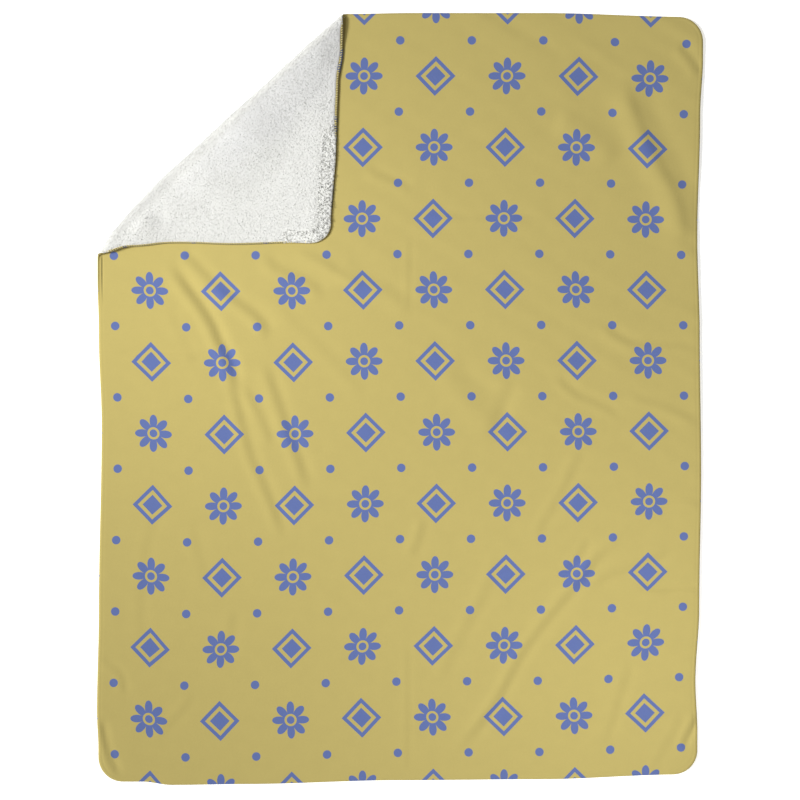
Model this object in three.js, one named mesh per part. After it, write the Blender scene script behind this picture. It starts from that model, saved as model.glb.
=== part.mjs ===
// A fleece blanket lying on a surface, printed face up, with its top left corner turned over.
// It is two panels, sewn together round the edge and turned out: a plush face and a curly-pile back.
// The face's edge rolls round the edge of the back and shows there as a narrow lip.
// Millimetres. +Z is up, +Y runs to the blanket's top edge, and the origin is under its middle.
import * as THREE from "three";

// The cut of both panels.
const WIDTH = 1270;
const LENGTH = 1616;
const CORNER_RADIUS = 52;

// The two cloths, and the gap between them.
const FACE_THICKNESS = 1.5;
const BACK_THICKNESS = 4.7;
const PANEL_GAP = 1.2;

// Heights above the seam plane, which lies in the gap, nearer to the face. The face is on its upper side.
const FACE_UNDER = 0.45;
const FACE_TOP = FACE_UNDER + FACE_THICKNESS;
const BACK_TOP = FACE_UNDER - PANEL_GAP;
const BACK_UNDER = BACK_TOP - BACK_THICKNESS;
const SEAM_HEIGHT = -BACK_UNDER;

// How far each side lies outside its straight cut line, by the place along that side.
const LEFT_SIDE = [
  { at: -740, out: -2 },
  { at: -660, out: 1 },
  { at: -450, out: -3 },
  { at: -60, out: -9 },
  { at: 130, out: -3 },
  { at: 283, out: 0 },
];
const RIGHT_SIDE = [
  { at: -714, out: -11 },
  { at: -609, out: -15 },
  { at: -450, out: -7 },
  { at: -160, out: -3 },
  { at: 130, out: -6 },
  { at: 336, out: -11 },
  { at: 598, out: -5 },
  { at: 720, out: 1 },
];
const BOTTOM_SIDE = [
  { at: -540, out: -5 },
  { at: -480, out: 2 },
  { at: -320, out: 0 },
  { at: 0, out: -8 },
  { at: 300, out: -10 },
  { at: 600, out: -20 },
];
const TOP_SIDE = [
  { at: 300, out: 2 },
  { at: 600, out: -6 },
];

// The corner turns over along the line from FOLD_START, on the left side, to FOLD_END, on the top side.
// Rows along that line: how far the roll's outer edge stands past it, the roll's radius at the seam plane,
// the share of its reach by which the turned corner is pushed along the roll, towards the top edge, and the
// length over which it comes down on the sheet.
const FOLD_START = new THREE.Vector2(-634, 307);
const FOLD_END = new THREE.Vector2(-117, 808);
const FOLD_ROLL = [
  { along: 0, out: 0, radius: 7, push: 0.08, settle: 70 },
  { along: 60, out: 10.5, radius: 7.4, push: 0.09, settle: 86 },
  { along: 120, out: 15.4, radius: 7.7, push: 0.07, settle: 98 },
  { along: 200, out: 17.9, radius: 8.4, push: 0.012, settle: 114 },
  { along: 290, out: 14.8, radius: 11, push: 0.06, settle: 140 },
  { along: 390, out: 12.7, radius: 11.4, push: 0.034, settle: 143 },
  { along: 505, out: 8.8, radius: 8.4, push: 0.036, settle: 110 },
  { along: 610, out: 6.8, radius: 7.2, push: 0.02, settle: 75 },
  { along: 660, out: 4.8, radius: 6.3, push: 0.14, settle: 45 },
  { along: 719, out: 3.6, radius: 5.5, push: 0.3, settle: 28 },
];
const LAYER_GAP = 1.2; // air between the turned corner and the sheet under it
const FADE_LENGTH = 90; // creases and side curves fade out over this length before the roll

// The main creases of the sheet, where they lie. Each is a soft ridge with a soft trough beside it, on the
// left hand of someone who walks from its first point to its last.
const CREASES = [
  {
    name: "main drag crease",
    points: [[-492, 288], [-450, 235], [-403, 168], [-382, 122], [-362, 80], [-340, 10]],
    width: 11,
    ridge: 2.6,
    trough: 3.3,
  },
  {
    name: "main drag crease, lower end",
    points: [[-360, 62], [-316, -110], [-289, -172], [-251, -270], [-245, -310]],
    width: 10,
    ridge: 1.3,
    trough: 1.3,
  },
  {
    name: "second drag crease",
    points: [[-290, 86], [-268, 30], [-235, -65], [-212, -130], [-188, -199]],
    width: 11,
    ridge: 1.6,
    trough: 1.4,
  },
  {
    name: "third drag crease",
    points: [[-395, 245], [-345, 207], [-300, 172], [-268, 130]],
    width: 11,
    ridge: 2.6,
    trough: 1.7,
  },
  {
    name: "right corner fold",
    points: [[480, 690], [508, 598], [555, 500], [599, 408], [614, 298]],
    width: 26,
    ridge: 3.2,
    trough: 1.5,
  },
  {
    name: "right corner hollow",
    points: [[332, 618], [374, 595], [423, 561], [473, 511]],
    width: 28,
    ridge: 2.2,
    trough: 0.7,
  },
  {
    name: "middle dent, left",
    points: [[97, 83], [127, 38], [159, 3], [189, -34], [205, -66]],
    width: 24,
    ridge: 1.1,
    trough: 1,
  },
  {
    name: "middle dent, right",
    points: [[245, 40], [220, 16], [208, -14], [198, -49], [181, -88]],
    width: 14,
    ridge: 0.4,
    trough: 1.2,
  },
  {
    name: "long lower crease",
    points: [[490, -293], [425, -325], [380, -380], [320, -450], [260, -530], [205, -630], [150, -705], [98, -760]],
    width: 10,
    ridge: 1.4,
    trough: 1,
  },
];
const CREASE_TAPER = 0.2; // each crease fades in and out over this share of its length

// The turned corner's own dents, by the place along the roll and the reach from it.
const FLAP_DENTS = [
  { along: 105, reach: 24, width: 28, height: 4 },
  { along: 140, reach: 42, width: 18, height: -1.5 },
];
const DENT_FADE = 25; // the dents fade out over this length before the roll

// The rolled edge. Rows are the way in from the cut edge and the height above the seam plane.
const RIM_INSET = 7.5;
const FACE_RIM = [
  { inset: 1.5, height: 1.1 },
  { inset: 0, height: -0.9 },
  { inset: 1.3, height: -2.8 },
  { inset: 6, height: -3.4 },
  { inset: 6, height: -2.4 },
  { inset: 1.7, height: -1.9 },
  { inset: 1.7, height: 0.1 },
];
const BACK_RIM = [
  { inset: 2.6, height: -0.75 },
  { inset: 2.6, height: -0.95 },
  { inset: 6.6, height: -1.4 },
];

// How closely the cloth is divided. The roll's rows are turns in radians, with one row on the sheet before
// the roll and three on the turned corner past it. A crease's rows are shares of its width, across it.
const SIDE_STEP = 58;
const CORNER_STEPS = 7;
const ROLL_END_LENGTH = 63;
const OUTLINE_ROLL_STEP = 5;
const ROLL_PITCH = 45;
const ROLL_END_PITCH = 9;
const ROLL_STEPS = 8;
const ROWS_BEFORE_ROLL = [-2.5];
const ROWS_PAST_ROLL = [6, 10, 15];
const ROLL_CLEARANCE = 3;
const CREASE_PITCH = 46;
const CREASE_ROWS = [0, -1, 1, -2.2, 2.2];
const CREASE_CLEARANCE = 0.7;
const CREASE_CURVE_STEPS = 6;
const FILL_PITCH = 88;
const FILL_CLEARANCE = 0.55 * FILL_PITCH;
const RIM_CLEARANCE = 20;
const PROBE = 0.5;
const WOBBLE = 0.3; // points are moved by up to this, so that no four of them lie on one circle
const WOBBLE_WAVES = [12.9898, 78.233, 97];
const ON_CIRCLE = 1 - 1e-6; // points this near a triangle's circle count as on it, as at a round corner

const FOLD_LINE = FOLD_END.clone().sub(FOLD_START);
const FOLD_LENGTH = FOLD_LINE.length();
const ALONG = FOLD_LINE.clone().normalize();
const OUTWARD = new THREE.Vector2(-ALONG.y, ALONG.x);

const smooth = (t) => THREE.MathUtils.smoothstep(t, 0, 1);
const bump = (distance, width) => Math.exp(-((distance / width) ** 2));

// A column of a table at a place between its rows.
function column(rows, key, name, place) {
  if (place <= rows[0][key]) return rows[0][name];
  for (let i = 1; i < rows.length; i++) {
    const [a, b] = [rows[i - 1], rows[i]];
    if (place <= b[key]) {
      return THREE.MathUtils.lerp(a[name], b[name], smooth((place - a[key]) / (b[key] - a[key])));
    }
  }
  return rows[rows.length - 1][name];
}

// Where a point of the cut stands against the roll. `turn` is the cloth's length past the start of the roll.
function foldPlace(x, y) {
  const from = new THREE.Vector2(x, y).sub(FOLD_START);
  const along = from.dot(ALONG);
  const radius = column(FOLD_ROLL, "along", "radius", along);
  const edge = column(FOLD_ROLL, "along", "out", along) + BACK_UNDER;
  return { along, radius, edge, turn: from.dot(OUTWARD) - edge + radius };
}

// The nearest place on a crease's curve: the way to it, positive on the left hand, and how far along the
// crease it lies from 0 to 1.
const creaseLines = CREASES.map(({ points }) => {
  const curve = new THREE.SplineCurve(points.map((p) => new THREE.Vector2(...p)));
  return curve.getPoints(CREASE_CURVE_STEPS * (points.length - 1));
});

function nearestOnLine(points, x, y) {
  const place = new THREE.Vector2(x, y);
  let best = { distance: Infinity };
  let length = 0;
  for (let i = 1; i < points.length; i++) {
    const side = points[i].clone().sub(points[i - 1]);
    const t = THREE.MathUtils.clamp(place.clone().sub(points[i - 1]).dot(side) / side.lengthSq(), 0, 1);
    const away = place.clone().sub(points[i - 1]).addScaledVector(side, -t);
    const distance = away.length();
    if (distance < best.distance) {
      best = { distance, across: Math.sign(side.cross(away)) * distance, along: length + t * side.length() };
    }
    length += side.length();
  }
  return { across: best.across, share: best.along / length };
}

function creaseHeight(x, y) {
  let height = 0;
  CREASES.forEach(({ width, ridge, trough }, i) => {
    const { across, share } = nearestOnLine(creaseLines[i], x, y);
    const taper = smooth(share / CREASE_TAPER) * smooth((1 - share) / CREASE_TAPER);
    height += taper * (ridge * bump(across + width, width) - trough * bump(across - width, width));
  });
  return height;
}

function flapDents(along, reach) {
  let height = 0;
  for (const dent of FLAP_DENTS) {
    height += dent.height * bump(Math.hypot(along - dent.along, reach - dent.reach), dent.width);
  }
  return height * smooth(reach / DENT_FADE);
}

// The seam plane's place in the finished lie, for a point of the flat cut.
function lie(x, y) {
  const { along, radius, edge, turn } = foldPlace(x, y);
  if (turn <= 0) {
    const fade = smooth(-turn / FADE_LENGTH);
    const across = x / WIDTH + 0.5;
    const up = y / LENGTH + 0.5;
    const left = column(LEFT_SIDE, "at", "out", y);
    const right = column(RIGHT_SIDE, "at", "out", y);
    const bottom = column(BOTTOM_SIDE, "at", "out", x);
    const top = column(TOP_SIDE, "at", "out", x);
    const east = x + fade * THREE.MathUtils.lerp(-left, right, across);
    const north = y + fade * THREE.MathUtils.lerp(-bottom, top, up);
    return new THREE.Vector3(east, north, SEAM_HEIGHT + fade * creaseHeight(east, north));
  }
  const angle = Math.min(turn / radius, Math.PI);
  const reach = Math.max(turn - Math.PI * radius, 0);
  const stack = 2 * FACE_TOP + LAYER_GAP;
  const drop = (2 * radius - stack) * smooth(reach / column(FOLD_ROLL, "along", "settle", along));
  const push = reach * column(FOLD_ROLL, "along", "push", along);
  const place = FOLD_START.clone()
    .addScaledVector(ALONG, along + push)
    .addScaledVector(OUTWARD, edge - radius + radius * Math.sin(angle) - reach);
  const rise = radius * (1 - Math.cos(angle)) - drop + flapDents(along, reach);
  return new THREE.Vector3(place.x, place.y, SEAM_HEIGHT + rise);
}

// A point of the cloth, raised off the seam plane along the cloth's own normal.
function clothPoint({ x, y }, height) {
  const place = lie(x, y);
  const east = lie(x + PROBE, y).sub(lie(x - PROBE, y));
  const north = lie(x, y + PROBE).sub(lie(x, y - PROBE));
  place.addScaledVector(east.cross(north).normalize(), height);
  const onFloor = height === BACK_UNDER && foldPlace(x, y).turn <= 0;
  if (onFloor) place.z = 0;
  return place;
}

// The cut's outline, with short steps where the roll crosses it, as points with the way inwards.
function outlinePoints() {
  const [w, l, r] = [WIDTH / 2, LENGTH / 2, CORNER_RADIUS];
  const quarter = Math.PI / 2;
  const path = new THREE.Path().moveTo(-w + r, -l);
  path.lineTo(w - r, -l).absarc(w - r, -l + r, r, -quarter, 0);
  path.lineTo(w, l - r).absarc(w - r, l - r, r, 0, quarter);
  path.lineTo(FOLD_END.x + ROLL_END_LENGTH, l).lineTo(FOLD_END.x - ROLL_END_LENGTH, l);
  path.lineTo(-w + r, l).absarc(-w + r, l - r, r, quarter, 2 * quarter);
  path.lineTo(-w, FOLD_START.y + ROLL_END_LENGTH).lineTo(-w, FOLD_START.y - ROLL_END_LENGTH);
  path.lineTo(-w, -l + r).absarc(-w + r, -l + r, r, 2 * quarter, 3 * quarter);
  const points = [];
  for (const curve of path.curves) {
    const length = curve.getLength();
    if (length < PROBE) continue;
    const step = Math.abs(length - 2 * ROLL_END_LENGTH) < PROBE ? OUTLINE_ROLL_STEP : SIDE_STEP;
    const steps = curve.isLineCurve ? Math.ceil(length / step) : CORNER_STEPS;
    for (let i = 0; i < steps; i++) {
      const tangent = curve.getTangent(i / steps);
      points.push({ place: curve.getPoint(i / steps), inward: new THREE.Vector2(-tangent.y, tangent.x) });
    }
  }
  return points;
}

const inset = ({ place, inward }, distance) => place.clone().addScaledVector(inward, distance);

// How far a point lies inside the cut's outline.
function depthInside({ x, y }) {
  const dx = Math.abs(x) - WIDTH / 2 + CORNER_RADIUS;
  const dy = Math.abs(y) - LENGTH / 2 + CORNER_RADIUS;
  return CORNER_RADIUS - Math.hypot(Math.max(dx, 0), Math.max(dy, 0)) - Math.min(Math.max(dx, dy), 0);
}

// Points inside the rim: rows round the roll, rows along each crease, and an even fill between them.
function innerPoints(rim) {
  const points = [];
  const add = (x, y, clearance) => {
    const wave = Math.sin(WOBBLE_WAVES[0] * x + WOBBLE_WAVES[1] * y);
    const point = new THREE.Vector2(x + WOBBLE * wave, y - WOBBLE * Math.cos(WOBBLE_WAVES[2] * wave));
    if (depthInside(point) < RIM_INSET + Math.min(clearance, RIM_CLEARANCE)) return;
    const near = (other) => point.distanceTo(other) < clearance;
    if (!rim.some(near) && !points.some(near)) points.push(point);
  };
  const rollTurns = Array.from({ length: ROLL_STEPS + 1 }, (_, i) => (i * Math.PI) / ROLL_STEPS);
  let along = -ROLL_END_LENGTH;
  while (along < FOLD_LENGTH + ROLL_END_LENGTH) {
    const nearEnd = along < ROLL_END_LENGTH || along > FOLD_LENGTH - ROLL_END_LENGTH;
    const radius = column(FOLD_ROLL, "along", "radius", along);
    const edge = column(FOLD_ROLL, "along", "out", along) + BACK_UNDER;
    for (const turn of [...ROWS_BEFORE_ROLL, ...rollTurns, ...ROWS_PAST_ROLL]) {
      const p = FOLD_START.clone()
        .addScaledVector(ALONG, along)
        .addScaledVector(OUTWARD, edge - radius + turn * radius);
      add(p.x, p.y, ROLL_CLEARANCE);
    }
    along += nearEnd ? ROLL_END_PITCH : ROLL_PITCH;
  }
  CREASES.forEach(({ width }, i) => {
    const line = new THREE.SplineCurve(creaseLines[i]);
    const steps = Math.ceil(line.getLength() / CREASE_PITCH);
    for (let k = 0; k <= steps; k++) {
      const p = line.getPoint(k / steps);
      const t = line.getTangent(k / steps);
      for (const row of CREASE_ROWS) {
        const q = new THREE.Vector2(p.x - t.y * row * width, p.y + t.x * row * width);
        const lying = lie(q.x, q.y); // the crease is given where it lies, and the points are those of the cut
        add(2 * q.x - lying.x, 2 * q.y - lying.y, CREASE_CLEARANCE * width);
      }
    }
  });
  const rowHeight = FILL_PITCH * Math.sin(Math.PI / 3);
  for (let row = 0; row * rowHeight < LENGTH; row++) {
    for (let x = -WIDTH / 2 + (row % 2 ? FILL_PITCH / 2 : 0); x < WIDTH / 2; x += FILL_PITCH) {
      add(x, -LENGTH / 2 + row * rowHeight, FILL_CLEARANCE);
    }
  }
  return points;
}

// Delaunay triangles of flat points, each turned anticlockwise, found by adding the points one at a time.
function triangulate(points) {
  const far = 1e5;
  const all = [...points, { x: -far, y: -far }, { x: far, y: -far }, { x: 0, y: far }];
  const n = points.length;
  const circleOf = (a, b, c) => {
    const [p, q, r] = [all[a], all[b], all[c]];
    const d = 2 * ((q.x - p.x) * (r.y - p.y) - (q.y - p.y) * (r.x - p.x));
    const [qq, rr] = [q, r].map((o) => (o.x - p.x) ** 2 + (o.y - p.y) ** 2);
    const x = (qq * (r.y - p.y) - rr * (q.y - p.y)) / d;
    const y = (rr * (q.x - p.x) - qq * (r.x - p.x)) / d;
    return { corners: d > 0 ? [a, b, c] : [a, c, b], x: p.x + x, y: p.y + y, square: x * x + y * y };
  };
  let triangles = [circleOf(n, n + 1, n + 2)];
  points.forEach((point, i) => {
    const hit = ({ x, y, square }) => (point.x - x) ** 2 + (point.y - y) ** 2 < square * ON_CIRCLE;
    const edges = new Map();
    for (const { corners } of triangles.filter(hit)) {
      corners.forEach((a, k) => {
        const b = corners[(k + 1) % 3];
        if (!edges.delete(b + "," + a)) edges.set(a + "," + b, [a, b]);
      });
    }
    triangles = triangles.filter((t) => !hit(t));
    for (const [a, b] of edges.values()) triangles.push(circleOf(a, b, i));
  });
  return triangles.map((t) => t.corners).filter((corners) => corners.every((i) => i < n));
}

// A closed panel: an upper and an under surface on the same triangles, joined round the rim's rows.
function panelGeometry(topHeight, underHeight, rimRows) {
  const vertices = [];
  const faces = [];
  const addPoints = (points, height) => {
    const first = vertices.length;
    for (const p of points) vertices.push(clothPoint(p, height));
    return first;
  };
  const top = addPoints(patternPoints, topHeight);
  const rings = rimRows.map((row) => ({
    inset: row.inset,
    first: addPoints(outline.map((o) => inset(o, row.inset)), row.height),
  }));
  const under = addPoints(patternPoints, underHeight);
  for (const [a, b, c] of patternTriangles) {
    faces.push([top + a, top + b, top + c], [under + a, under + c, under + b]);
  }
  const bands = [{ inset: RIM_INSET, first: top }, ...rings, { inset: RIM_INSET, first: under }];
  for (let band = 1; band < bands.length; band++) {
    const [a, b] = [bands[band - 1], bands[band]];
    outline.forEach((_, i) => {
      const j = (i + 1) % outline.length;
      const [ai, aj, bi, bj] = [a.first + i, a.first + j, b.first + i, b.first + j];
      if (a.inset > b.inset) faces.push([ai, bi, bj], [ai, bj, aj]);
      else faces.push([ai, bi, aj], [aj, bi, bj]);
    });
  }
  const geometry = new THREE.BufferGeometry().setFromPoints(vertices);
  geometry.setIndex(faces.flat());
  geometry.computeVertexNormals();
  return geometry;
}

const outline = outlinePoints();
const rimPoints = outline.map((o) => inset(o, RIM_INSET));
const patternPoints = [...rimPoints, ...innerPoints(rimPoints)];
const patternTriangles = triangulate(patternPoints);

const plush = new THREE.MeshStandardMaterial({ color: "#c9b86c", roughness: 0.85, metalness: 0 });
const pile = new THREE.MeshStandardMaterial({ color: "#ebebe5", roughness: 0.95, metalness: 0 });

const face = new THREE.Mesh(panelGeometry(FACE_TOP, FACE_UNDER, FACE_RIM), plush);
face.name = "face_panel";
const back = new THREE.Mesh(panelGeometry(BACK_TOP, BACK_UNDER, BACK_RIM), pile);
back.name = "back_panel";

const blanket = new THREE.Group();
blanket.add(face, back);

export default blanket;
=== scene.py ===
import math

import bpy
import numpy as np
from bpy.props import FloatProperty, FloatVectorProperty, IntProperty, PointerProperty
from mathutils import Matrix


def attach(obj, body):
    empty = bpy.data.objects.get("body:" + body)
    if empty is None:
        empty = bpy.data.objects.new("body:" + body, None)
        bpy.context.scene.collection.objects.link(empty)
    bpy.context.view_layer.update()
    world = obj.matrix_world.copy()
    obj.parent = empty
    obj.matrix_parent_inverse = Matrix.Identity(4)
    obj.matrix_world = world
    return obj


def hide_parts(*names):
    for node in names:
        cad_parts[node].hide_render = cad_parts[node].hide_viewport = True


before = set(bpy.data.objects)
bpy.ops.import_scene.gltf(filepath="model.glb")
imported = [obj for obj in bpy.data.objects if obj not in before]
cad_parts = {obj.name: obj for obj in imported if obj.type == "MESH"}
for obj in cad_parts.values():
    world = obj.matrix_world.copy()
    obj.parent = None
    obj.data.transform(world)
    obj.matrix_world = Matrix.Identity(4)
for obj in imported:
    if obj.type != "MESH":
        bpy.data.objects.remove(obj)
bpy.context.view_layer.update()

bl_info = {
    "name": "Fleece Blanket",
    "version": (1, 0, 0),
    "blender": (4, 5, 0),
    "location": "View3D > Sidebar > Blanket",
    "description": "A two-sided fleece blanket, lying printed face up with one corner turned over",
    "category": "Add Mesh",
}

BODY = "root"
MM = 0.001

# The cut and the lie of the cloth, in millimetres, with the same values as the solids.
# Heights are above the seam plane, which runs between the two panels.
WIDTH, LENGTH, CORNER_RADIUS = 1270.0, 1616.0, 52.0
FACE_TOP, FACE_UNDER = 1.95, 0.45
BACK_TOP, BACK_UNDER = -0.75, -5.45
SEAM_HEIGHT = -BACK_UNDER

# Rows of a side: a place along it, and how far the side lies outside its straight cut line there.
LEFT_SIDE = np.array([(-740, -2), (-660, 1), (-450, -3), (-60, -9), (130, -3), (283, 0)], float)
RIGHT_SIDE = np.array(
    [(-714, -11), (-609, -15), (-450, -7), (-160, -3), (130, -6), (336, -11), (598, -5), (720, 1)], float
)
BOTTOM_SIDE = np.array([(-540, -5), (-480, 2), (-320, 0), (0, -8), (300, -10), (600, -20)], float)
TOP_SIDE = np.array([(300, 2), (600, -6)], float)

# The corner turns over along the line from FOLD_START to FOLD_END. Rows of the roll: the place along it, its
# outer edge's distance past the line, its radius, the share of its reach by which the turned corner is pushed
# along the roll, and the length over which it settles on the sheet.
FOLD_START = np.array((-634.0, 307.0))
FOLD_END = np.array((-117.0, 808.0))
FOLD_ROLL = np.array(
    [
        (0, 0, 7, 0.08, 70),
        (60, 10.5, 7.4, 0.09, 86),
        (120, 15.4, 7.7, 0.07, 98),
        (200, 17.9, 8.4, 0.012, 114),
        (290, 14.8, 11, 0.06, 140),
        (390, 12.7, 11.4, 0.034, 143),
        (505, 8.8, 8.4, 0.036, 110),
        (610, 6.8, 7.2, 0.02, 75),
        (660, 4.8, 6.3, 0.14, 45),
        (719, 3.6, 5.5, 0.3, 28),
    ],
    float,
)
LAYER_GAP = 1.2  # between the turned corner and the sheet under it
FADE_LENGTH = 90.0  # the uneven sides, the creases and the ripples fade over this length before the roll
EDGE_DROOP, DROOP_LENGTH = 0.8, 20.0  # the turned corner's thin hem lies lower than its pile
ALONG = (FOLD_END - FOLD_START) / np.linalg.norm(FOLD_END - FOLD_START)
OUTWARD = np.array((-ALONG[1], ALONG[0]))

# Creases of the sheet. Each is a soft ridge with a soft trough beside it, on the left hand of someone who
# walks from its first point to its last: points, width, the ridge's height and the trough's depth.
CREASES = [
    (
        "main drag crease",
        [(-492, 288), (-450, 235), (-403, 168), (-382, 122), (-362, 80), (-340, 10)],
        11, 2.6, 3.3,
    ),
    (
        "main drag crease, lower end",
        [(-360, 62), (-316, -110), (-289, -172), (-251, -270), (-245, -310)],
        10, 1.3, 1.3,
    ),
    ("drag crease beside it", [(-332, 35), (-305, -12), (-283, -58), (-268, -105)], 9, 0.9, 1.0),
    ("second drag crease", [(-290, 86), (-268, 30), (-235, -65), (-212, -130), (-188, -199)], 11, 1.6, 1.4),
    ("third drag crease", [(-395, 245), (-345, 207), (-300, 172), (-268, 130)], 11, 2.6, 1.7),
    ("fourth drag crease", [(-285, 235), (-235, 180), (-170, 115), (-110, 55), (-60, -10)], 12, 0.6, 0.4),
    ("faint drag crease", [(-492, 200), (-468, 150), (-445, 105), (-430, 60)], 10, 0.3, 0.3),
    ("first fan crease", [(-460, 312), (-420, 272), (-385, 238)], 10, 1.4, 1.6),
    ("second fan crease", [(-292, 302), (-252, 272), (-200, 250), (-150, 217)], 12, 1.6, 1.4),
    ("third fan crease", [(-225, 314), (-170, 295), (-120, 264), (-70, 237)], 10, 2.0, 0.3),
    ("fourth fan crease", [(-124, 295), (-64, 250), (-14, 220), (36, 175)], 14, 1.0, 0.5),
    ("crease by the flap", [(-75, 484), (-25, 462), (30, 440)], 9, 1.2, 1.2),
    ("right corner fold", [(480, 690), (508, 598), (555, 500), (599, 408), (614, 298)], 26, 3.2, 1.5),
    ("right corner fold's edge", [(470, 687), (498, 595), (545, 497), (589, 405), (604, 307)], 9, 0.4, 0.4),
    ("right corner hollow", [(332, 618), (374, 595), (423, 561), (473, 511)], 28, 2.2, 0.7),
    ("right corner pucker", [(580, 742), (609, 710), (628, 675)], 9, 1.0, 1.6),
    ("middle dent, left", [(97, 83), (127, 38), (159, 3), (189, -34), (205, -66)], 24, 1.1, 1.0),
    ("middle dent, right", [(245, 40), (220, 16), (208, -14), (198, -49), (181, -88)], 14, 0.4, 1.2),
    (
        "long lower crease",
        [(490, -293), (425, -325), (380, -380), (320, -450), (260, -530), (205, -630), (150, -705)]
        + [(98, -760)],
        10, 1.4, 1.0,
    ),
    ("lower branch", [(575, -318), (520, -340), (480, -355), (425, -375), (390, -397)], 10, 0.9, 1.4),
    ("lower side crease", [(500, -405), (545, -402), (632, -397)], 6, 1.6, 2.0),
    ("lower inner crease", [(398, -290), (370, -335), (345, -365)], 8, 0.5, 0.6),
    (
        "slant crease by the dent",
        [(392, -100), (365, -140), (345, -185), (300, -262), (278, -305)],
        10, 0.7, 0.5,
    ),
    ("slant crease below", [(204, -313), (192, -378), (146, -468), (101, -558), (78, -613)], 12, 0.75, 0.4),
    ("middle pucker", [(52, -246), (40, -296), (20, -336)], 10, 1.1, 0.5),
    ("right side crease, top", [(410, 162), (470, 123), (505, 113), (560, 113), (630, 107)], 9, 1.3, 1.2),
    ("right side crease, inner", [(318, 56), (370, 10), (400, -3), (440, -22), (470, -37)], 9, 1.2, 0.8),
    ("right side crease, middle", [(468, 11), (528, -7), (568, -22), (632, -49)], 9, 1.3, 0.5),
    ("right side crease, low", [(505, -216), (570, -213), (632, -214)], 7, 1.0, 0.6),
    ("lower left corner crease", [(-630, -667), (-620, -720), (-609, -756), (-588, -794)], 7, 0.9, 1.9),
    ("left hem pucker", [(-628, -550), (-600, -565), (-585, -585), (-578, -622)], 7, 0.8, 0.9),
    ("lower right crease", [(596, -654), (571, -704), (544, -749), (528, -795)], 10, 0.5, 0.3),
    ("lower right corner pucker", [(622, -660), (606, -695), (588, -735)], 7, 1.1, 1.8),
    ("lower right lap", [(484, -540), (470, -590), (458, -630), (443, -680), (425, -730)], 10, 0.35, 0.65),
    ("left lap", [(-500, -215), (-530, -290), (-541, -380), (-546, -450), (-538, -530)], 11, 0.25, 0.4),
    ("left lap, inner", [(-442, -255), (-427, -310), (-412, -360), (-409, -410)], 11, 0.35, 0.4),
    ("low left lap", [(-348, -436), (-356, -490), (-379, -540)], 11, 0.4, 0.5),
    ("low left swell", [(-425, -615), (-455, -650), (-485, -685), (-515, -715)], 9, 0.5, 0.4),
    ("left cross crease", [(-600, 88), (-540, 92), (-470, 94), (-415, 92)], 6, 1.4, 1.4),
    ("top cross crease", [(20, 392), (100, 382), (200, 379), (300, 384)], 8, 0.9, 0.9),
    ("packing fold, low", [(14, -480), (16, -640), (14, -800)], 5, 0.35, 0.45),
    ("packing fold, high", [(20, 345), (18, 250), (17, 180)], 5, 0.4, 0.4),
]
CREASE_TAPER = 0.2  # the share of its length over which a crease fades at each end
CREASE_DEPTH = 1.15  # the sheet's creases are this many times as deep as the solid's
CREASE_STEPS = 8  # steps of a crease's line from point to point

# Fine ripples between the creases: their direction, length, width and height. They are highest in the upper
# right of the sheet, and fade to a share of that height over a length downwards.
RIPPLE_WAY = (0.86, -0.51)
RIPPLE_LENGTH, RIPPLE_WIDTH, RIPPLE_HEIGHT = 120.0, 22.0, 0.9
RIPPLE_SHARE, RIPPLE_FADE = 0.3, 500.0
RIPPLE_PATCH, PATCH_DEPTH = 260.0, 0.4  # they come and go in patches of this length, by this share
RIPPLE_SEED, PATCH_SEED = 11, 12

# Dents of the turned corner: the place along the roll, the reach from it, width and height. They fade in
# over this length from the roll.
FLAP_DENTS = [(105, 24, 28, 4), (140, 42, 18, -1.5)]
DENT_FADE = 25.0

# The rolled edge. Rows: the way in from the cut edge, the height above the seam plane, the place in the flat
# cloth, which for the lip lies past the cut edge, and how far the row is drawn in: the face's where the hem
# is pulled tight, and the back's on the turned corner, where it is thinner under the tufts.
GRID_INSET = 14.0  # the rows run from the panel's grid, which ends this far in
FACE_RIM = [
    (11.8, 1.95, 11.8, 0.1),
    (9.8, 1.85, 9.8, 1.35),
    (7.8, 1.65, 7.8, -0.1),
    (6.2, 1.8, 6.2, -0.2),
    (4.8, 1.8, 4.8, 0.2),
    (3.4, 1.6, 3.4, 1.3),
    (1.6, 1.1, 1.6, -0.3),
    (0.3, 0.1, 0, -0.2),
    (0, -0.7, -1, 0),
    (0.6, -1.5, -2.2, 0),
    (2.4, -2.2, -4.2, 0),
    (6, -2.6, -8, 0),
    (6, -1.8, -9, 0),
    (1.9, -1.1, -13.2, 0),
    (1.9, 0.1, -14.5, 0),
]
BACK_RIM = [
    (2.6, -0.75, 2.6, 0),
    (2.6, -0.95, 2.9, 0),
    (6.6, -1.4, 6.6, 0),
    (6.9, -3.4, 6.9, -1.4),
    (8.2, -4.9, 8.2, -2.7),
    (10.8, -5.35, 10.8, -2.95),
]
# The hem is pulled tight on the left side below the fold, over this length.
TIGHT_FROM, TIGHT_FULL = 190.0, 260.0
# The lip shows its whole width beside the roll's upper end, and less beyond these places along the two sides.
LIP_BARE, LIP_TIP, LIP_LOW = 5.6, 0.3, 3.4
TIP_SIDE, TIP_CORNER = (-350.0, -410.0), (756.0, 676.0)
FLAT_SPAN = 1700.0  # the flat cloth's UV map runs over this length, with the middle of the cut at 0.5

# Tufts and other unevenness lie on lattices of this many cells, which then repeat. A tuft reaches this far,
# in cells.
LATTICE, TUFT_REACH = 64, 0.85
# The back's underside: the width, depth and seed of its dimples, and how much thinner it is on the turned
# corner.
DIMPLE_WIDTH, DIMPLE_DEPTH, DIMPLE_SEED = 9.0, 0.7, 3
TURNED_THINNER, TURN_STEP = 3.0, 15.0

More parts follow.
